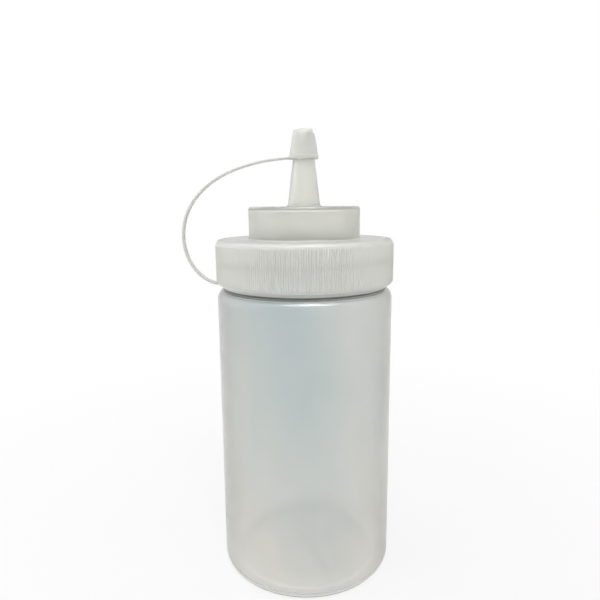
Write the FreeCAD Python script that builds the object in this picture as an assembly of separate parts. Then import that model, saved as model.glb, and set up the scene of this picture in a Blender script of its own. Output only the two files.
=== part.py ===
import FreeCAD, Part
import math
import os

# Condiment squeeze bottle: a soft bottle with a wide screw neck, a one-piece screw cap with a raised
# dome and a cone nozzle, and a leash moulding of neck ring, flat strap and pull-off tip cap.
# Millimetres. +Z is up the bottle's axis, the origin is the middle of the foot, the strap is at -X.

Vector = FreeCAD.Vector
UP = Vector(0, 0, 1)
ORIGIN = Vector(0, 0, 0)

# Bottle
body_d = 73.0
body_wall = 1.2
base_wall = 1.6
base_corner_radius = 2.4
foot_width = 4.5
foot_edge_radius = 0.8
base_recess = 1.8
base_recess_slope = 4.0
base_recess_radius = 1.6
shoulder_z = 120.6
shoulder_width = 5.0
shoulder_flat = 0.5
neck_wall = 1.5
neck_root_radius = 0.3
rim_radius = 0.5

# Screw thread, right-handed, shared by the neck and the cap
thread_pitch = 4.2
thread_turns = 1.25
thread_height = 1.5
thread_crest_share = 0.53
thread_below_rim = 2.6
thread_sink = 0.3
thread_clearance = 0.35
thread_flank_clearance = 0.4

# Leash ring on the neck, under the cap
ring_thickness = 1.2
ring_width = 2.4
ring_clearance = 0.3

# Screw cap
skirt_wall = 3.0
collar_height = 18.0
collar_edge_radius = 1.5
collar_lip_radius = 0.3
deck_wall = 1.6
deck_width = 13.35
rim_gap = 0.3
rib_pitch = 0.918
rib_height = 0.45
rib_top_margin = 1.7
rib_lip_margin = 0.6
plug_depth = 3.0
plug_wall = 1.2
plug_clearance = 0.3
dome_height = 13.1
dome_wall = 1.5
dome_edge_radius = 1.2
dome_root_radius = 0.8
nozzle_base_d = 13.4
nozzle_tip_d = 6.4
nozzle_height = 29.1
nozzle_root_radius = 1.2
nozzle_tip_radius = 0.4
nozzle_base_wall = 1.3
orifice_d = 3.0

# Tip cap over the nozzle
tip_height = 11.65
tip_clearance = 0.1
tip_top_wall = 1.3
tip_side_wall = 0.7
tip_rim_wall = 1.1
tip_rim_gap = 0.5
tip_rim_height = 1.3
tip_rim_step = 0.25
tip_edge_radius = 0.9
tip_bulge = 0.2
tip_bulge_radius = 24.0

# Flat strap from the tip cap to the leash ring, bowed out past the collar
strap_width = 3.2
strap_thickness = 0.9
strap_lug = 1.2
strap_lug_sink = 0.6
strap_top_reach = 28.0
strap_top_drop = 4.5
strap_low_reach = 18.0
strap_stations = 24
strap_seat_gap = 0.2

# Places that follow from the sizes above
body_r = body_d / 2
neck_r = body_r - shoulder_width
neck_bore_r = neck_r - neck_wall
shoulder_radius = shoulder_width - shoulder_flat
ring_z = shoulder_z + ring_clearance
ring_inner_r = neck_r + ring_clearance
ring_outer_r = ring_inner_r + ring_width
thread_root_width = thread_pitch / 2 - thread_flank_clearance
thread_crest_width = thread_root_width * thread_crest_share
thread_crest_r = neck_r + thread_height
skirt_bore_r = thread_crest_r + thread_clearance
cap_crest_r = neck_r + thread_clearance
collar_core_r = skirt_bore_r + skirt_wall
collar_r = collar_core_r + rib_height
collar_z = ring_z + ring_thickness + ring_clearance
deck_z = collar_z + collar_height
ceiling_z = deck_z - deck_wall
rim_z = ceiling_z - rim_gap
thread_rise = thread_turns * thread_pitch
neck_thread_z = rim_z - thread_below_rim - thread_rise
cap_thread_z = neck_thread_z - thread_pitch / 2
dome_r = collar_core_r - deck_width
dome_z = deck_z + dome_height
nozzle_base_r = nozzle_base_d / 2
nozzle_tip_r = nozzle_tip_d / 2
nozzle_z = dome_z + nozzle_height
nozzle_seat_z = dome_z + nozzle_root_radius
nozzle_taper = (nozzle_base_r - nozzle_tip_r) / nozzle_height
nozzle_seat_r = nozzle_base_r - (nozzle_seat_z - dome_z) * nozzle_taper
dome_ceiling_z = dome_z - dome_wall
bore_base_r = nozzle_base_r - nozzle_base_wall
bore_tip_r = orifice_d / 2
bore_taper = (bore_base_r - bore_tip_r) / (nozzle_z - dome_ceiling_z)
bore_seat_r = bore_base_r - (nozzle_seat_z - dome_ceiling_z) * bore_taper
tip_top_z = nozzle_z + tip_clearance + tip_top_wall
tip_rim_z = tip_top_z - tip_height
tip_top_r = nozzle_tip_r + tip_clearance + tip_side_wall
tip_rim_bore_r = nozzle_tip_r + (nozzle_z - tip_rim_z) * nozzle_taper + tip_rim_gap
tip_rim_r = tip_rim_bore_r + tip_rim_wall
strap_top_z = tip_rim_z + strap_thickness / 2
strap_low_z = ring_z + ring_thickness / 2


def rounded_wire(corners):
    """Closed wire in the XZ plane through (r, z, radius) corners, each rounded by its radius."""
    points = [Vector(r, 0, z) for r, z, radius in corners]
    edges = []
    arcs = []
    for i, (r, z, radius) in enumerate(corners):
        here = points[i]
        back = (points[i - 1] - here).normalize()
        ahead = (points[(i + 1) % len(points)] - here).normalize()
        half_angle = back.getAngle(ahead) / 2
        reach = radius / math.tan(half_angle)
        inward = (back + ahead).normalize() if radius else ORIGIN
        middle = here + inward * (radius / math.sin(half_angle) - radius)
        arcs.append((here + back * reach, middle, here + ahead * reach))
    for i, (start, middle, end) in enumerate(arcs):
        edges.append(Part.LineSegment(arcs[i - 1][2], start).toShape())
        if corners[i][2]:
            edges.append(Part.Arc(start, middle, end).toShape())
    return Part.Wire(edges)


def turned(corners):
    """Solid of revolution about the bottle's axis."""
    return Part.Face(rounded_wire(corners)).revolve(ORIGIN, UP, 360)


def thread_ridge(wall_r, crest_r, start_z):
    """Helical ridge on a wall at wall_r, sunk a little into it, with its crest at crest_r."""
    foot_r = wall_r + math.copysign(thread_sink, wall_r - crest_r)
    half_root = thread_root_width / 2
    half_crest = thread_crest_width / 2
    section = Part.makePolygon([
        Vector(foot_r, 0, -half_root),
        Vector(crest_r, 0, -half_crest),
        Vector(crest_r, 0, half_crest),
        Vector(foot_r, 0, half_root),
        Vector(foot_r, 0, -half_root),
    ])
    helix = Part.Wire(Part.makeHelix(thread_pitch, thread_rise, wall_r).Edges)
    ridge = helix.makePipeShell([section], True, True)
    ridge.translate(UP * start_z)
    return ridge


def bottle_body():
    foot_outer_r = body_r - base_corner_radius
    foot_inner_r = foot_outer_r - foot_width
    recess_r = foot_inner_r - base_recess_slope
    inner_r = body_r - body_wall
    shell = turned([
        (0, base_recess, 0),
        (recess_r, base_recess, base_recess_radius),
        (foot_inner_r, 0, foot_edge_radius),
        (body_r, 0, base_corner_radius),
        (body_r, shoulder_z, shoulder_radius),
        (neck_r, shoulder_z, neck_root_radius),
        (neck_r, rim_z, rim_radius),
        (neck_bore_r, rim_z, rim_radius),
        (neck_bore_r, shoulder_z - body_wall, body_wall),
        (inner_r, shoulder_z - body_wall, shoulder_radius - body_wall),
        (inner_r, base_wall, base_corner_radius - body_wall),
        (foot_inner_r, base_wall, foot_edge_radius),
        (recess_r, base_recess + base_wall, base_recess_radius),
        (0, base_recess + base_wall, 0),
    ])
    return shell.fuse(thread_ridge(neck_r, thread_crest_r, neck_thread_z))


def leash_ring():
    ring = Part.makeCylinder(ring_outer_r, ring_thickness, UP * ring_z)
    return ring.cut(Part.makeCylinder(ring_inner_r, ring_thickness, UP * ring_z))


def grip_ribs():
    """Band of fine upright ribs round the collar, as one toothed outline pulled up."""
    count = round(2 * math.pi * collar_r / rib_pitch)
    bottom = collar_z + rib_lip_margin
    points = []
    for i in range(2 * count):
        angle = math.pi * i / count
        radius = collar_core_r if i % 2 else collar_r
        points.append(Vector(radius * math.cos(angle), radius * math.sin(angle), bottom))
    points.append(points[0])
    middle_r = (collar_core_r + skirt_bore_r) / 2
    hole = Part.Wire(Part.makeCircle(middle_r, UP * bottom))
    band = Part.makeFace([Part.makePolygon(points), hole], "Part::FaceMakerBullseye")
    return band.extrude(UP * (collar_height - rib_lip_margin - rib_top_margin))


def screw_cap():
    """Ribbed collar, deck, plug seal and dome, up to the root of the nozzle."""
    dome_bore_r = dome_r - dome_wall
    plug_outer_r = neck_bore_r - plug_clearance
    plug_inner_r = plug_outer_r - plug_wall
    plug_z = ceiling_z - plug_depth
    core = turned([
        (skirt_bore_r, collar_z, collar_lip_radius),
        (collar_core_r, collar_z, collar_lip_radius),
        (collar_core_r, deck_z, collar_edge_radius),
        (dome_r, deck_z, dome_root_radius),
        (dome_r, dome_z, dome_edge_radius),
        (nozzle_base_r, dome_z, nozzle_root_radius),
        (nozzle_seat_r, nozzle_seat_z, 0),
        (bore_seat_r, nozzle_seat_z, 0),
        (bore_base_r, dome_ceiling_z, nozzle_root_radius),
        (dome_bore_r, dome_ceiling_z, dome_edge_radius),
        (dome_bore_r, ceiling_z, dome_root_radius),
        (plug_inner_r, ceiling_z, dome_root_radius),
        (plug_inner_r, plug_z, collar_lip_radius),
        (plug_outer_r, plug_z, collar_lip_radius),
        (plug_outer_r, ceiling_z, collar_lip_radius),
        (skirt_bore_r, ceiling_z, collar_lip_radius),
    ])
    ridge = thread_ridge(skirt_bore_r, cap_crest_r, cap_thread_z)
    return core.fuse([grip_ribs(), ridge])


def nozzle():
    """Cone nozzle, of one moulding with the screw cap, from just above its root to its tip."""
    return turned([
        (bore_seat_r, nozzle_seat_z, 0),
        (nozzle_seat_r, nozzle_seat_z, 0),
        (nozzle_tip_r, nozzle_z, nozzle_tip_radius),
        (bore_tip_r, nozzle_z, nozzle_tip_radius),
    ])


def tip_cap():
    shoulder_r = tip_rim_r - tip_rim_step
    middle_r = (shoulder_r + tip_top_r) / 2 + tip_bulge
    middle_z = tip_rim_z + (tip_rim_height + tip_height) / 2
    shell = turned([
        (0, tip_top_z, 0),
        (0, nozzle_z + tip_clearance, 0),
        (nozzle_tip_r + tip_clearance, nozzle_z + tip_clearance, nozzle_tip_radius),
        (tip_rim_bore_r, tip_rim_z, tip_rim_step),
        (tip_rim_r, tip_rim_z, tip_rim_step),
        (tip_rim_r, tip_rim_z + tip_rim_height, tip_rim_step),
        (shoulder_r, tip_rim_z + tip_rim_height + tip_rim_step, tip_rim_step),
        (middle_r, middle_z, tip_bulge_radius),
        (tip_top_r, tip_top_z, tip_edge_radius),
    ])
    lug_length = strap_lug + strap_lug_sink
    corner = Vector(-tip_rim_r - strap_lug, -strap_width / 2, tip_rim_z)
    lug = Part.makeBox(lug_length, strap_width, strap_thickness, corner)
    return shell.fuse(lug)


def leash_strap():
    """Flat strap, bent in one plane from the tip cap's lug out and down to the leash ring."""
    top = Vector(-tip_rim_r - strap_lug, 0, strap_top_z)
    low = Vector(-ring_outer_r - strap_seat_gap, 0, strap_low_z)
    middle = Part.BezierCurve()
    middle.setPoles([
        top,
        Vector(-collar_r - strap_top_reach, 0, strap_top_z - strap_top_drop),
        Vector(-collar_r - strap_low_reach, 0, strap_low_z),
        low,
    ])
    stations = [i / strap_stations for i in range(strap_stations + 1)]
    rails = []
    for half in (strap_thickness / 2, -strap_thickness / 2):
        offsets = [Vector(*middle.tangent(s)[0]).cross(Vector(0, 1, 0)) * half for s in stations]
        offsets[0].x = 0
        rails.append([middle.value(s) + offset for s, offset in zip(stations, offsets)])
    edges = [Part.makeLine(rails[0][end], rails[1][end]) for end in (0, -1)]
    for rail in rails:
        curve = Part.BSplineCurve()
        curve.interpolate(rail)
        edges.append(curve.toShape())
    outline = Part.Wire(Part.__sortEdges__(edges))
    outline.translate(Vector(0, -strap_width / 2, 0))
    return Part.Face(outline).extrude(Vector(0, strap_width, 0))


os.makedirs("parts", exist_ok=True)
for piece in (bottle_body, leash_ring, screw_cap, nozzle, tip_cap, leash_strap):
    shape = piece()
    print(piece.__name__, shape.isValid(), len(shape.Solids), round(shape.Volume, 1), shape.BoundBox)
    shape.exportStep(f"parts/{piece.__name__}.step")
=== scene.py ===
"""Looks of a condiment squeeze bottle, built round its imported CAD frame. Metres, +Z up."""

import math

import bmesh
import bpy
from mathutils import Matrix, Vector


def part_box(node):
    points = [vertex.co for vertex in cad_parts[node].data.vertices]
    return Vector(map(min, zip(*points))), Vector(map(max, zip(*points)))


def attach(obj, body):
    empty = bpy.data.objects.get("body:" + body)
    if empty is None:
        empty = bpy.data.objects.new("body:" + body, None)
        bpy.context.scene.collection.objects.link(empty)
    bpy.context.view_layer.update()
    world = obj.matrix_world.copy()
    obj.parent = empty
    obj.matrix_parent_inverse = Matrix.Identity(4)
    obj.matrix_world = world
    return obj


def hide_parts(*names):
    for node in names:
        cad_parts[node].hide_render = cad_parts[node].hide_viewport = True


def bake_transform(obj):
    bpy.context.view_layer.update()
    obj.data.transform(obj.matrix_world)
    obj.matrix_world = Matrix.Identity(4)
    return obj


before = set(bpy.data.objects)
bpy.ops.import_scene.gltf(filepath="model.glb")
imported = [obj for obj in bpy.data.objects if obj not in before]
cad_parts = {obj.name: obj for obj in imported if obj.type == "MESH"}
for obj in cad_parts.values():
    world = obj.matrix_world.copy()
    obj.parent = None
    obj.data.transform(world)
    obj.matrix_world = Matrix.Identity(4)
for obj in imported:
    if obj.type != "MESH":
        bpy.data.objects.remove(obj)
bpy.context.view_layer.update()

# Boxes that the frame gives
body_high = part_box("bottle_body")[1]
ring_low, ring_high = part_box("leash_ring")
cap_low, cap_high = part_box("screw_cap")
nozzle_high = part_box("nozzle")[1]
tip_low, tip_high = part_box("tip_cap")
strap_low, strap_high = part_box("leash_strap")

# Bottle
BODY_R = body_high.x
BODY_WALL = 0.0012
BASE_WALL = 0.0016
BASE_CORNER = 0.0024
FOOT_WIDTH = 0.0045
FOOT_EDGE = 0.0008
RECESS = 0.0018
RECESS_SLOPE = 0.004
RECESS_RADIUS = 0.009
SHOULDER_Z = 0.1206
SHOULDER_RADIUS = 0.0045
NECK_R = 0.0315
NECK_WALL = 0.0015
NECK_ROOT = 0.0003
RIM_RADIUS = 0.0005
RIM_Z = body_high.z

# The mould's parting line on the bottle's wall, and its pinch line across the base
SEAM_ANGLES = (math.radians(-67.8), math.radians(112.2))
SEAM_WIDTH = math.radians(1)
SEAM_HALF_STEPS = 2
SEAM_STEP = SEAM_WIDTH / (2 * SEAM_HALF_STEPS)
SEAM_HEIGHT = 0.00006
PINCH_WIDTH = 0.0009
PINCH_HEIGHT = 0.00025
PINCH_RING_SHARES = (0.1, 0.2, 0.35, 0.5, 0.65, 0.8)

# Screw thread, shared by the neck and the cap
THREAD_PITCH = 0.0042
THREAD_TURNS = 1.25
THREAD_HEIGHT = 0.0015
THREAD_ROOT = 0.0017
THREAD_CREST = 0.0009
THREAD_BELOW_RIM = 0.0026
THREAD_CLEARANCE = 0.00035
THREAD_FADE = math.radians(25)
THREAD_Z = RIM_Z - THREAD_BELOW_RIM - THREAD_TURNS * THREAD_PITCH

# Screw cap
COLLAR_R = cap_high.x
COLLAR_Z = cap_low.z
COLLAR_HEIGHT = 0.018
COLLAR_EDGE = 0.0015
LIP_RADIUS = 0.0003
DECK_WALL = 0.0016
RIB_COUNT = 252
RIB_HEIGHT = 0.00045
RIB_TOP_MARGIN = 0.0017
RIB_LIP_MARGIN = 0.0006
RIB_FADE = 0.0004
PLUG_DEPTH = 0.003
PLUG_WALL = 0.0012
PLUG_CLEARANCE = 0.0003
DOME_R = 0.023
DOME_HEIGHT = 0.0131
DOME_WALL = 0.0015
DOME_EDGE = 0.0012
DOME_ROOT = 0.0008
NOZZLE_BASE_R = 0.0067
NOZZLE_TIP_R = 0.0032
NOZZLE_ROOT = 0.0012
NOZZLE_TIP_RADIUS = 0.0004
NOZZLE_BASE_WALL = 0.0013
ORIFICE_R = 0.0015
NOZZLE_Z = nozzle_high.z
DECK_Z = COLLAR_Z + COLLAR_HEIGHT
DOME_Z = DECK_Z + DOME_HEIGHT
CEILING_Z = DECK_Z - DECK_WALL
RIB_LOW_Z = COLLAR_Z + RIB_LIP_MARGIN
RIB_HIGH_Z = DECK_Z - RIB_TOP_MARGIN

# Tip cap
TIP_RIM_R = tip_high.x
TIP_RIM_HEIGHT = 0.0013
TIP_RIM_STEP = 0.00025
TIP_RIM_WALL = 0.0011
TIP_TOP_R = 0.004
TIP_EDGE = 0.0009
TIP_BULGE = 0.0002
TIP_BULGE_RADIUS = 0.024
TIP_CLEARANCE = 0.0001

# Leash ring and strap
RING_CLEARANCE = 0.0003
STRAP_WIDTH = strap_high.y - strap_low.y
STRAP_THICKNESS = 0.0009
STRAP_CORNER = 0.0002
STRAP_LUG = 0.0012
STRAP_TOP_REACH = 0.028
STRAP_TOP_DROP = 0.0045
STRAP_LOW_REACH = 0.018
STRAP_SEAT_GAP = 0.0002
STRAP_SINK = 0.0006

# Mesh fineness
ROUND_STEPS = 192
TIP_STEPS = ROUND_STEPS // 2
RIB_STEPS = 6
ARC_STEPS = 6
STRAP_ARC_STEPS = 3
STRAP_STATIONS = 64
SHARP_ANGLE = math.radians(50)
SUPPORT = 0.0002
LONG_RUN = 4 * SUPPORT
SAME = 1e-6

# Plastics: the tint goes from cool to warm, and rough is of the clean and of the scuffed skin
BOTTLE_PLASTIC = dict(
    cool=(0.705, 0.785, 0.805),
    warm=(0.945, 0.935, 0.912),
    rough=(0.19, 0.25),
    transmission=0.92,
    density=600,
    flow=1,
    grain=0.00006,
    coat=0.25,
)
CAP_PLASTIC = dict(
    cool=(0.895, 0.9, 0.865),
    warm=(0.935, 0.935, 0.895),
    rough=(0.3, 0.38),
    transmission=0.46,
    density=80,
    flow=0,
    grain=0.00006,
    coat=0,
)
CAP_TOP_CLEAR_SHARE = 0.87
TIP_PLASTIC = dict(
    cool=(0.915, 0.92, 0.885),
    warm=(0.945, 0.945, 0.91),
    rough=(0.3, 0.38),
    transmission=0.7,
    density=60,
    flow=0,
    grain=0.00003,
    coat=0,
)
STRAP_PLASTIC = dict(
    cool=(0.76, 0.77, 0.735),
    warm=(0.8, 0.8, 0.76),
    rough=(0.3, 0.38),
    transmission=0.2,
    density=150,
    flow=0,
    grain=0.00001,
    coat=0,
)

# Look that all the plastics share
PLASTIC_IOR = 1.51
COAT_ROUGHNESS = 0.06
DEPTH_COLOUR = (0.9, 0.9, 0.885, 1)
NOISE_ROUGHNESS = 0.5
CLOUD_SCALE = 22
CLOUD_DETAIL = 2
STREAK_STRETCH = (1, 1, 0.03)
STREAK_SCALE = 260
STREAK_DETAIL = 3
STREAK_TINT_SHARE = 0.25
SCUFF_SCALE = 90
SCUFF_DETAIL = 8
SCUFF_ROUGHNESS = 0.7
SCUFF_SPAN = (0.35, 0.7)
SKIN_SCALE = 1400
SKIN_DETAIL = 2
SKIN_STRENGTH = 0.25

# Painted light in the tint: warmer and lighter low down, painted light from the floor, and darker and
# cooler in a leaning band beside the axis, a painted reflection
PAINTED_FLOOR_LIGHT_SPAN = (0, 0.09)
PAINTED_FLOOR_LIGHT_WARM_SHARES = (0.6, 0.1)
PAINTED_REFLECTION_LEAN = (1, 0, 0.2)
PAINTED_REFLECTION_PLACE = 0.011
PAINTED_REFLECTION_SPAN = (0, 0.032)
PAINTED_REFLECTION_WARM_SHARES = (-0.46, 0)

# Floor: spans are of distances from the axis, with the shares of plain white that are seen at their ends
FLOOR_HALF_SIZE = 20
FLOOR_GREY = (0.75, 0.75, 0.75, 1)
FLOOR_ROUGHNESS = 0.9
FOOT_CONTACT = 0.00003
CAMERA_SPAN = (0.05, 0.35)
CAMERA_WHITE_SHARES = (0.8, 1)
GLOSS_SPAN = (0.03, 0.15)
GLOSS_WHITE_SHARES = (0.3, 1)
UNDER_FOOT_SPAN = (0.028, 0.033)
PAST_FOOT_SPAN = (0.036, 0.055)
FOOT_WHITE_SHARE = 0.55

# Light all round
WHITE = (1, 1, 1, 1)
WORLD_LIGHT_SHARE = 0.45
WORLD_GLOSS_SHARE = 0.65

# Lamps: name, place, width, height, watts, whether gloss shows it and whether it lights the rest
LAMPS = (
    ("key", (0.04, -0.48, 0.85), 0.35, 0.06, 3, False, True),
    ("strip", (0.06, -0.48, 0.85), 0.9, 0.07, 7, True, False),
    ("top", (0, 0.1, 0.9), 0.8, 0.8, 1.6, True, True),
    ("left", (-0.7, 0.05, 0.35), 1.4, 1.4, 5.6, False, True),
    ("right", (0.64, -0.34, 0.4), 1.2, 1.2, 1.4, False, True),
)
LAMP_AIM = Vector((0, 0, 0.09))

# Camera, with its lens and sensor in millimetres
CAMERA_LENS = 31.2
CAMERA_SENSOR = 36
CAMERA_NEAREST = 0.01
CAMERA_PLACE = (0, -0.2182, 0.153)
CAMERA_TILT = math.radians(79.92)
CAMERA_TURN = math.radians(0.53)
CAMERA_ROLL = math.radians(-0.5)

# Steps of a share
NONE_TO_ALL = (0, 1)
ALL_TO_NONE = (1, 0)


def even_angles(count):
    """Angles of a whole turn in even steps."""
    return [math.tau * i / count for i in range(count)]


def rounded(corners, steps=ARC_STEPS):
    """Closed (r, z) outline through (r, z, radius) corners, each rounded by its radius."""
    outline = []
    for i, (r, z, radius) in enumerate(corners):
        here = Vector((r, z))
        if not radius:
            outline.append(here)
            continue
        back = (Vector(corners[i - 1][:2]) - here).normalized()
        ahead = (Vector(corners[(i + 1) % len(corners)][:2]) - here).normalized()
        half = back.angle(ahead) / 2
        centre = here + (back + ahead).normalized() * radius / math.sin(half)
        first = here + back * radius / math.tan(half) - centre
        last = here + ahead * radius / math.tan(half) - centre
        start = math.atan2(first.y, first.x)
        sweep = math.remainder(math.atan2(last.y, last.x) - start, math.tau)
        for k in range(steps + 1):
            angle = start + sweep * k / steps
            outline.append(centre + radius * Vector((math.cos(angle), math.sin(angle))))
    return outline


def supported(outline):
    """Adds points close to both ends of each long run, so that smooth shading keeps the run flat."""
    points = []
    for before, here in zip(outline[-1:] + outline, outline):
        step = here - before
        if step.length > LONG_RUN:
            points.append(before + step.normalized() * SUPPORT)
            points.append(here - step.normalized() * SUPPORT)
        points.append(here)
    return points


def no_relief(angle, r, z):
    """Leaves a turned surface plain."""
    return 0


def everywhere(r, z):
    """Makes each ring of a turned surface a fine one."""
    return True


def ring_step(ring, step, steps):
    """The points of a ring along one of its even steps, both ends included."""
    stride = len(ring) // steps
    return [ring[(step * stride + i) % len(ring)] for i in range(stride + 1)]


def lathe(bm, outline, angles, relief=no_relief, lift=no_relief, stride=1, is_fine=everywhere):
    """Turns a closed (r, z) outline about the axis.

    relief(angle, r, z) is added to each radius and lift(angle, r, z) to each height. Rings where
    is_fine(r, z) holds have a point at each angle, and the others at one angle in stride.
    """
    rings = []
    for r, z in outline:
        ring_angles = angles if is_fine(r, z) else angles[::stride]
        if r < SAME:
            rings.append([bm.verts.new((0, 0, z + lift(0, r, z)))] * len(ring_angles))
            continue
        ring = []
        for angle in ring_angles:
            reach = r + relief(angle, r, z)
            place = (reach * math.cos(angle), reach * math.sin(angle), z + lift(angle, r, z))
            ring.append(bm.verts.new(place))
        rings.append(ring)
    for below, above in zip([rings[-1]] + rings, rings):
        steps = min(len(below), len(above))
        for j in range(steps):
            corners = ring_step(below, j, steps) + ring_step(above, j, steps)[::-1]
            distinct = list(dict.fromkeys(corners))
            if len(distinct) > 2:
                bm.faces.new(distinct)


def join_sections(bm, sections):
    """Joins a row of closed sections by faces and closes both ends."""
    for before, after in zip(sections, sections[1:]):
        for k in range(len(before)):
            bm.faces.new((before[k - 1], before[k], after[k], after[k - 1]))
    bm.faces.new(sections[0])
    bm.faces.new(reversed(sections[-1]))


def helix_ridge(bm, wall_r, crest_r, start_z):
    """Screw ridge on a wall, with its ends run out into the wall."""
    length = math.tau * THREAD_TURNS
    steps = round(ROUND_STEPS * THREAD_TURNS)
    sink_r = wall_r - math.copysign(THREAD_CLEARANCE, crest_r - wall_r)
    sections = []
    for i in range(steps + 1):
        angle = length * i / steps
        run_out = min(1, angle / THREAD_FADE, (length - angle) / THREAD_FADE)
        top_r = sink_r + (crest_r - sink_r) * math.sqrt(max(run_out, 0))
        middle_z = start_z + THREAD_PITCH * angle / math.tau
        corners = (
            (sink_r, -THREAD_ROOT / 2),
            (top_r, -THREAD_CREST / 2),
            (top_r, THREAD_CREST / 2),
            (sink_r, THREAD_ROOT / 2),
        )
        section = []
        for r, rise in corners:
            section.append(bm.verts.new((r * math.cos(angle), r * math.sin(angle), middle_z + rise)))
        sections.append(section)
    join_sections(bm, sections)


def finish_piece(bm, name, material):
    """Makes a smooth-shaded object of a bmesh."""
    bmesh.ops.recalc_face_normals(bm, faces=bm.faces)
    mesh = bpy.data.meshes.new(name)
    bm.to_mesh(mesh)
    bm.free()
    mesh.shade_smooth()
    mesh.materials.append(material)
    piece = bpy.data.objects.new(name, mesh)
    bpy.context.scene.collection.objects.link(piece)
    return piece


def seam_angles():
    """Angles round the bottle, closer together across each parting line."""
    across = range(-SEAM_HALF_STEPS, SEAM_HALF_STEPS + 1)
    on_seams = [(seam + step * SEAM_STEP) % math.tau for seam in SEAM_ANGLES for step in across]
    clear = [a for a in even_angles(ROUND_STEPS) if min(abs(a - b) for b in on_seams) > SEAM_STEP]
    return sorted(clear + on_seams)


def seam_relief(angle, r, z):
    """The mould's parting line: a hair of a ridge up two sides of the outer wall."""
    on_wall = r > BODY_R - BODY_WALL / 2 and BASE_CORNER < z < SHOULDER_Z
    beside = min(abs(math.remainder(angle - seam, math.tau)) for seam in SEAM_ANGLES)
    if not on_wall or beside > SEAM_WIDTH / 2:
        return 0
    return SEAM_HEIGHT * math.cos(math.pi * beside / SEAM_WIDTH) ** 2


def pinch_drop(angle, r, z):
    """The low scar across the base's recess, in line with the parting line, where the mould closes."""
    beside = abs(r * math.sin(angle - SEAM_ANGLES[0]))
    if abs(z - RECESS) > SAME or beside > PINCH_WIDTH / 2:
        return 0
    return -PINCH_HEIGHT * math.cos(math.pi * beside / PINCH_WIDTH) ** 2


def make_bottle(material):
    """The blow-moulded shell: recessed base, straight wall, shoulder and threaded neck."""
    foot_inner = BODY_R - BASE_CORNER - FOOT_WIDTH
    recess_r = foot_inner - RECESS_SLOPE
    inner_r = BODY_R - BODY_WALL
    bore_r = NECK_R - NECK_WALL
    outline = rounded([
        (0, RECESS, 0),
        *[(recess_r * share, RECESS, 0) for share in PINCH_RING_SHARES],
        (recess_r, RECESS, RECESS_RADIUS),
        (foot_inner, 0, FOOT_EDGE),
        (BODY_R, 0, BASE_CORNER),
        (BODY_R, SHOULDER_Z, SHOULDER_RADIUS),
        (NECK_R, SHOULDER_Z, NECK_ROOT),
        (NECK_R, RIM_Z, RIM_RADIUS),
        (bore_r, RIM_Z, RIM_RADIUS),
        (bore_r, SHOULDER_Z - BODY_WALL, BODY_WALL),
        (inner_r, SHOULDER_Z - BODY_WALL, SHOULDER_RADIUS - BODY_WALL),
        (inner_r, BASE_WALL, BASE_CORNER - BODY_WALL),
        (foot_inner, BASE_WALL, FOOT_EDGE),
        (recess_r, RECESS + BASE_WALL, RECESS_RADIUS),
        (0, RECESS + BASE_WALL, 0),
    ])
    bm = bmesh.new()
    lathe(bm, supported(outline), seam_angles(), seam_relief, pinch_drop)
    helix_ridge(bm, NECK_R, NECK_R + THREAD_HEIGHT, THREAD_Z)
    piece = finish_piece(bm, "bottle_shell", material)
    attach(piece, "bottle")
    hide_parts("bottle_body")


def on_ribs(r, z):
    """Whether a point of the cap's outline lies on the ribbed part of the collar."""
    at_height = RIB_LOW_Z - SAME <= z <= RIB_HIGH_Z + SAME
    return at_height and r > COLLAR_R - RIB_HEIGHT - LIP_RADIUS


def rib_relief(angle, r, z):
    """Fine upright ribs round the collar, run out at their ends."""
    if not on_ribs(r, z):
        return 0
    from_ends = min(z - RIB_LOW_Z, RIB_HIGH_Z - z)
    run_out = min(1, max(0, from_ends / RIB_FADE))
    phase = math.remainder(angle * RIB_COUNT / math.tau, 1)
    return RIB_HEIGHT * math.cos(math.pi * phase) ** 2 * run_out


def make_cap(material):
    """The cap in one moulding: ribbed collar, thread, sealing plug, dome and nozzle."""
    core_r = COLLAR_R - RIB_HEIGHT
    skirt_r = NECK_R + THREAD_HEIGHT + THREAD_CLEARANCE
    dome_bore = DOME_R - DOME_WALL
    plug_outer = NECK_R - NECK_WALL - PLUG_CLEARANCE
    plug_inner = plug_outer - PLUG_WALL
    plug_z = CEILING_Z - PLUG_DEPTH
    outline = rounded([
        (skirt_r, COLLAR_Z, LIP_RADIUS),
        (core_r, COLLAR_Z, LIP_RADIUS),
        (core_r, RIB_LOW_Z, 0),
        (core_r, RIB_LOW_Z + RIB_FADE, 0),
        (core_r, RIB_HIGH_Z - RIB_FADE, 0),
        (core_r, RIB_HIGH_Z, 0),
        (core_r, DECK_Z, COLLAR_EDGE),
        (DOME_R, DECK_Z, DOME_ROOT),
        (DOME_R, DOME_Z, DOME_EDGE),
        (NOZZLE_BASE_R, DOME_Z, NOZZLE_ROOT),
        (NOZZLE_TIP_R, NOZZLE_Z, NOZZLE_TIP_RADIUS),
        (ORIFICE_R, NOZZLE_Z, NOZZLE_TIP_RADIUS),
        (NOZZLE_BASE_R - NOZZLE_BASE_WALL, DOME_Z - DOME_WALL, NOZZLE_ROOT),
        (dome_bore, DOME_Z - DOME_WALL, DOME_EDGE),
        (dome_bore, CEILING_Z, DOME_ROOT),
        (plug_inner, CEILING_Z, DOME_ROOT),
        (plug_inner, plug_z, LIP_RADIUS),
        (plug_outer, plug_z, LIP_RADIUS),
        (plug_outer, CEILING_Z, LIP_RADIUS),
        (skirt_r, CEILING_Z, LIP_RADIUS),
    ])
    bm = bmesh.new()
    rib_angles = even_angles(RIB_COUNT * RIB_STEPS)
    lathe(bm, supported(outline), rib_angles, relief=rib_relief, stride=RIB_STEPS, is_fine=on_ribs)
    helix_ridge(bm, skirt_r, NECK_R + THREAD_CLEARANCE, THREAD_Z - THREAD_PITCH / 2)
    piece = finish_piece(bm, "cap_moulding", material)
    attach(piece, "cap")
    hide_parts("screw_cap", "nozzle")


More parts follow.
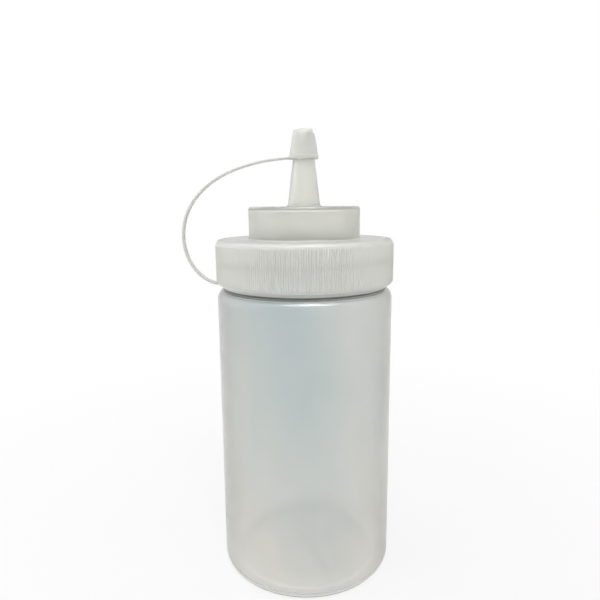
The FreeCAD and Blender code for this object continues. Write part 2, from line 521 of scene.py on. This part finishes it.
def make_ring(material):
    """The leash's ring, loose on the neck under the collar."""
    inner_r = NECK_R + RING_CLEARANCE
    outline = rounded([
        (inner_r, ring_low.z, STRAP_CORNER),
        (ring_high.x, ring_low.z, STRAP_CORNER),
        (ring_high.x, ring_high.z, STRAP_CORNER),
        (inner_r, ring_high.z, STRAP_CORNER),
    ])
    bm = bmesh.new()
    lathe(bm, supported(outline), even_angles(ROUND_STEPS))
    piece = finish_piece(bm, "neck_ring", material)
    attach(piece, "leash_ring")
    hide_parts("leash_ring")


def make_tip_cap(material):
    """The small cap over the nozzle's tip, with a rim and gently bulging sides."""
    rim_z = tip_low.z
    shoulder_r = TIP_RIM_R - TIP_RIM_STEP
    middle_r = (shoulder_r + TIP_TOP_R) / 2 + TIP_BULGE
    middle_z = rim_z + (TIP_RIM_HEIGHT + tip_high.z - tip_low.z) / 2
    outline = rounded([
        (0, tip_high.z, 0),
        (0, NOZZLE_Z + TIP_CLEARANCE, 0),
        (NOZZLE_TIP_R + TIP_CLEARANCE, NOZZLE_Z + TIP_CLEARANCE, NOZZLE_TIP_RADIUS),
        (TIP_RIM_R - TIP_RIM_WALL, rim_z, TIP_RIM_STEP),
        (TIP_RIM_R, rim_z, TIP_RIM_STEP),
        (TIP_RIM_R, rim_z + TIP_RIM_HEIGHT, TIP_RIM_STEP),
        (shoulder_r, rim_z + TIP_RIM_HEIGHT + TIP_RIM_STEP, TIP_RIM_STEP),
        (middle_r, middle_z, TIP_BULGE_RADIUS),
        (TIP_TOP_R, tip_high.z, TIP_EDGE),
    ])
    bm = bmesh.new()
    lathe(bm, supported(outline), even_angles(TIP_STEPS))
    piece = finish_piece(bm, "tip_cover", material)
    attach(piece, "tip_cap")
    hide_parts("tip_cap")


def strap_middle(share):
    """A point of the strap's middle line, and the direction across its thickness there."""
    top = Vector((-TIP_RIM_R - STRAP_LUG, 0, tip_low.z + STRAP_THICKNESS / 2))
    low = Vector((-ring_high.x - STRAP_SEAT_GAP, 0, (ring_low.z + ring_high.z) / 2))
    high_pole = Vector((-COLLAR_R - STRAP_TOP_REACH, 0, top.z - STRAP_TOP_DROP))
    low_pole = Vector((-COLLAR_R - STRAP_LOW_REACH, 0, low.z))
    rest = 1 - share
    point = (
        rest**3 * top
        + 3 * rest**2 * share * high_pole
        + 3 * rest * share**2 * low_pole
        + share**3 * low
    )
    ahead = (
        rest**2 * (high_pole - top)
        + 2 * rest * share * (low_pole - high_pole)
        + share**2 * (low - low_pole)
    )
    return point, ahead.normalized().cross(Vector((0, 1, 0)))


def strap_section():
    """Flat section of the strap with rounded corners, as places across its width and its thickness."""
    across = STRAP_WIDTH / 2
    through = STRAP_THICKNESS / 2
    corners = [(-across, -through), (across, -through), (across, through), (-across, through)]
    return rounded([(y, t, STRAP_CORNER) for y, t in corners], STRAP_ARC_STEPS)


def ribbon(name, places, material):
    """A length of strap through (point, direction across the thickness) places."""
    section = strap_section()
    bm = bmesh.new()
    sections = []
    for point, across in places:
        sections.append([bm.verts.new(point + Vector((0, y, 0)) + across * t) for y, t in section])
    join_sections(bm, sections)
    piece = finish_piece(bm, name, material)
    piece.data.set_sharp_from_angle(angle=SHARP_ANGLE)
    return piece


def make_strap(material):
    """Two lengths of strap that meet at the loop's outermost point."""
    places = [strap_middle(i / STRAP_STATIONS) for i in range(STRAP_STATIONS + 1)]
    outermost = min(range(len(places)), key=lambda i: places[i][0].x)
    top = places[0][0]
    low = places[-1][0]
    down = Vector((0, 0, -1))
    into_tip = [(Vector((-TIP_RIM_R + STRAP_SINK, 0, top.z)), down), (top, down)]
    into_ring = [(Vector((-ring_high.x + STRAP_SINK, 0, low.z)), places[-1][1])]
    upper = ribbon("strap_upper", into_tip + places[1:outermost + 1], material)
    lower = ribbon("strap_lower", places[outermost:] + into_ring, material)
    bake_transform(upper)
    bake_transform(lower)
    for piece in (upper, lower):
        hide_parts("leash_strap")


def add_node(tree, kind, inputs=(), **settings):
    """Adds a shader node with its settings, its inputs given as values or as other nodes' outputs."""
    node = tree.nodes.new(kind)
    for name, value in settings.items():
        setattr(node, name, value)
    for name, value in dict(inputs).items():
        if isinstance(value, bpy.types.NodeSocket):
            tree.links.new(value, node.inputs[name])
        else:
            node.inputs[name].default_value = value
    return node


def maths(tree, operation, *values, **settings):
    """The result of one operation on numbers or other nodes' outputs."""
    node = add_node(tree, "ShaderNodeMath", enumerate(values), operation=operation, **settings)
    return node.outputs["Value"]


def noise(tree, place, scale, detail, roughness=NOISE_ROUGHNESS):
    """Soft noise over a place."""
    inputs = {"Vector": place, "Scale": scale, "Detail": detail, "Roughness": roughness}
    return add_node(tree, "ShaderNodeTexNoise", inputs).outputs["Fac"]


def mapped(tree, value, span, ends, interpolation="LINEAR"):
    """A value's span taken to new ends, and held at them outside the span."""
    inputs = {
        "Value": value,
        "From Min": span[0],
        "From Max": span[1],
        "To Min": ends[0],
        "To Max": ends[1],
    }
    node = add_node(tree, "ShaderNodeMapRange", inputs, interpolation_type=interpolation)
    return node.outputs["Result"]


def eased(tree, value, span, ends):
    """A smooth step from one end to the other over a value's span."""
    return mapped(tree, value, span, ends, "SMOOTHSTEP")


def milky_plastic(name, cool, warm, rough, transmission, density, flow, grain, coat):
    """Milky see-through polyethylene: cloudy tint with painted light (lighter and warmer low down, a
    darker, cooler painted reflection band beside the axis), upright flow streaks, scuffs and a fine skin.
    """
    material = bpy.data.materials.new(name)
    material.use_nodes = True
    tree = material.node_tree
    shader = tree.nodes["Principled BSDF"]
    shader.inputs["Transmission Weight"].default_value = transmission
    shader.inputs["IOR"].default_value = PLASTIC_IOR
    shader.inputs["Coat Weight"].default_value = coat
    shader.inputs["Coat Roughness"].default_value = COAT_ROUGHNESS
    place = add_node(tree, "ShaderNodeTexCoord").outputs["Object"]
    upright = add_node(tree, "ShaderNodeMapping", {"Vector": place, "Scale": STREAK_STRETCH})
    clouds = noise(tree, place, CLOUD_SCALE, CLOUD_DETAIL)
    streaks = noise(tree, upright.outputs["Vector"], STREAK_SCALE, STREAK_DETAIL)
    scuffs = noise(tree, place, SCUFF_SCALE, SCUFF_DETAIL, SCUFF_ROUGHNESS)
    skin = noise(tree, place, SKIN_SCALE, SKIN_DETAIL)

    # Tint: random cloudy mottle, plus painted light low down and a painted reflection band
    height = add_node(tree, "ShaderNodeSeparateXYZ", {"Vector": place}).outputs["Z"]
    # Painted light: the plastic is painted lighter and warmer low down, as if lit from the floor
    rise = mapped(tree, height, PAINTED_FLOOR_LIGHT_SPAN, PAINTED_FLOOR_LIGHT_WARM_SHARES)
    # Painted reflection: a darker, cooler band leaning beside the axis
    slant = add_node(tree, "ShaderNodeVectorMath", {0: place, 1: PAINTED_REFLECTION_LEAN}, operation="DOT_PRODUCT")
    beside = maths(tree, "SUBTRACT", slant.outputs["Value"], PAINTED_REFLECTION_PLACE)
    painted_reflection_band = eased(tree, maths(tree, "ABSOLUTE", beside), PAINTED_REFLECTION_SPAN, PAINTED_REFLECTION_WARM_SHARES)
    mottle = maths(tree, "MULTIPLY_ADD", streaks, STREAK_TINT_SHARE, clouds)
    mottle_and_painted_light = maths(tree, "ADD", mottle, maths(tree, "ADD", rise, painted_reflection_band), use_clamp=True)
    ends = {"Factor": mottle_and_painted_light, "A": (*cool, 1), "B": (*warm, 1)}
    colour = add_node(tree, "ShaderNodeMix", ends, data_type="RGBA")
    tree.links.new(colour.outputs["Result"], shader.inputs["Base Color"])

    # Skin and depth
    tree.links.new(mapped(tree, scuffs, SCUFF_SPAN, rough), shader.inputs["Roughness"])
    relief = maths(tree, "MULTIPLY_ADD", streaks, flow, skin)
    inputs = {"Strength": SKIN_STRENGTH, "Distance": grain, "Height": relief}
    tree.links.new(add_node(tree, "ShaderNodeBump", inputs).outputs["Normal"], shader.inputs["Normal"])
    depth = add_node(tree, "ShaderNodeVolumeAbsorption", {"Color": DEPTH_COLOUR, "Density": density})
    tree.links.new(depth.outputs["Volume"], tree.nodes["Material Output"].inputs["Volume"])
    return material


def clearer_upward(material, top_share):
    """Lets more light through the cap's thin dome and nozzle than through its threaded collar."""
    tree = material.node_tree
    clearness = tree.nodes["Principled BSDF"].inputs["Transmission Weight"]
    place = add_node(tree, "ShaderNodeTexCoord").outputs["Object"]
    height = add_node(tree, "ShaderNodeSeparateXYZ", {"Vector": place}).outputs["Z"]
    step = eased(tree, height, (CEILING_Z, DECK_Z + DOME_ROOT), (clearness.default_value, top_share))
    tree.links.new(step, clearness)


def seen_directly(tree, camera_share=1, gloss_share=1, clear_share=1):
    """The share of plain white that rays from the camera, gloss and clear plastic see, and 0 for light."""
    path = add_node(tree, "ShaderNodeLightPath").outputs
    total = 0
    for ray, share in (
        ("Is Camera Ray", camera_share),
        ("Is Glossy Ray", gloss_share),
        ("Is Transmission Ray", clear_share),
    ):
        total = maths(tree, "MULTIPLY_ADD", path[ray], share, total, use_clamp=True)
    return total


def make_floor_white():
    """Matt pale floor that is seen as white, with a soft shade close to the bottle and round its foot."""
    material = bpy.data.materials.new("floor_white")
    material.use_nodes = True
    tree = material.node_tree
    matt = tree.nodes["Principled BSDF"]
    matt.inputs["Base Color"].default_value = FLOOR_GREY
    matt.inputs["Roughness"].default_value = FLOOR_ROUGHNESS
    matt.inputs["Specular IOR Level"].default_value = 0
    glow = add_node(tree, "ShaderNodeEmission", {"Color": WHITE, "Strength": 1})
    place = add_node(tree, "ShaderNodeTexCoord").outputs["Object"]
    reach = add_node(tree, "ShaderNodeVectorMath", {0: place}, operation="LENGTH").outputs["Value"]
    camera_share = eased(tree, reach, CAMERA_SPAN, CAMERA_WHITE_SHARES)
    gloss_share = eased(tree, reach, GLOSS_SPAN, GLOSS_WHITE_SHARES)
    under_foot = eased(tree, reach, UNDER_FOOT_SPAN, NONE_TO_ALL)
    past_foot = eased(tree, reach, PAST_FOOT_SPAN, ALL_TO_NONE)
    foot_shade = maths(tree, "MULTIPLY", under_foot, past_foot)
    clear_share = eased(tree, foot_shade, NONE_TO_ALL, (1, FOOT_WHITE_SHARE))
    share = seen_directly(tree, camera_share, gloss_share, clear_share)
    looks = {0: share, 1: matt.outputs["BSDF"], 2: glow.outputs["Emission"]}
    both = add_node(tree, "ShaderNodeMixShader", looks)
    tree.links.new(both.outputs["Shader"], tree.nodes["Material Output"].inputs["Surface"])
    return material


def make_stage():
    """The floor, a hair above the foot's underside, so that no air shows between them."""
    mesh = bpy.data.meshes.new("floor")
    bm = bmesh.new()
    bmesh.ops.create_grid(bm, x_segments=1, y_segments=1, size=FLOOR_HALF_SIZE)
    bm.to_mesh(mesh)
    bm.free()
    mesh.materials.append(make_floor_white())
    floor = bpy.data.objects.new("floor", mesh)
    floor.location.z = FOOT_CONTACT
    bpy.context.scene.collection.objects.link(floor)


def make_world():
    """A pale shell of light all round, which is seen as white."""
    world = bpy.data.worlds.new("studio")
    bpy.context.scene.world = world
    world.use_nodes = True
    tree = world.node_tree
    shell = tree.nodes["Background"]
    shell.inputs["Color"].default_value = WHITE
    seen = seen_directly(tree, gloss_share=WORLD_GLOSS_SHARE)
    tree.links.new(mapped(tree, seen, NONE_TO_ALL, (WORLD_LIGHT_SHARE, 1)), shell.inputs["Strength"])


def make_lamps():
    """Soft studio lamps, all aimed at the bottle's middle."""
    for name, place, width, height, watts, in_gloss, lights_rest in LAMPS:
        lamp = bpy.data.lights.new(name, "AREA")
        lamp.shape = "RECTANGLE"
        lamp.size = width
        lamp.size_y = height
        lamp.energy = watts
        holder = bpy.data.objects.new(name, lamp)
        holder.location = place
        holder.rotation_euler = (LAMP_AIM - Vector(place)).to_track_quat("-Z", "Y").to_euler()
        holder.visible_glossy = in_gloss
        holder.visible_diffuse = lights_rest
        holder.visible_transmission = lights_rest
        bpy.context.scene.collection.objects.link(holder)


def make_camera():
    """The camera at the photograph's viewing angle."""
    data = bpy.data.cameras.new("camera")
    data.lens = CAMERA_LENS
    data.sensor_width = CAMERA_SENSOR
    data.clip_start = CAMERA_NEAREST
    camera = bpy.data.objects.new("camera", data)
    camera.location = CAMERA_PLACE
    camera.rotation_euler = (CAMERA_TILT, 0, CAMERA_TURN)
    camera.rotation_euler.rotate_axis("Z", CAMERA_ROLL)
    bpy.context.scene.collection.objects.link(camera)
    bpy.context.scene.camera = camera


bpy.context.scene.view_settings.view_transform = "Standard"
bottle_plastic = milky_plastic("bottle_plastic_milky", **BOTTLE_PLASTIC)
cap_plastic = milky_plastic("cap_plastic_milky", **CAP_PLASTIC)
clearer_upward(cap_plastic, CAP_TOP_CLEAR_SHARE)
tip_plastic = milky_plastic("tip_plastic_milky", **TIP_PLASTIC)
strap_plastic = milky_plastic("strap_plastic_milky", **STRAP_PLASTIC)
make_bottle(bottle_plastic)
make_cap(cap_plastic)
make_ring(strap_plastic)
make_tip_cap(tip_plastic)
make_strap(strap_plastic)
make_stage()
make_world()
make_lamps()
make_camera()
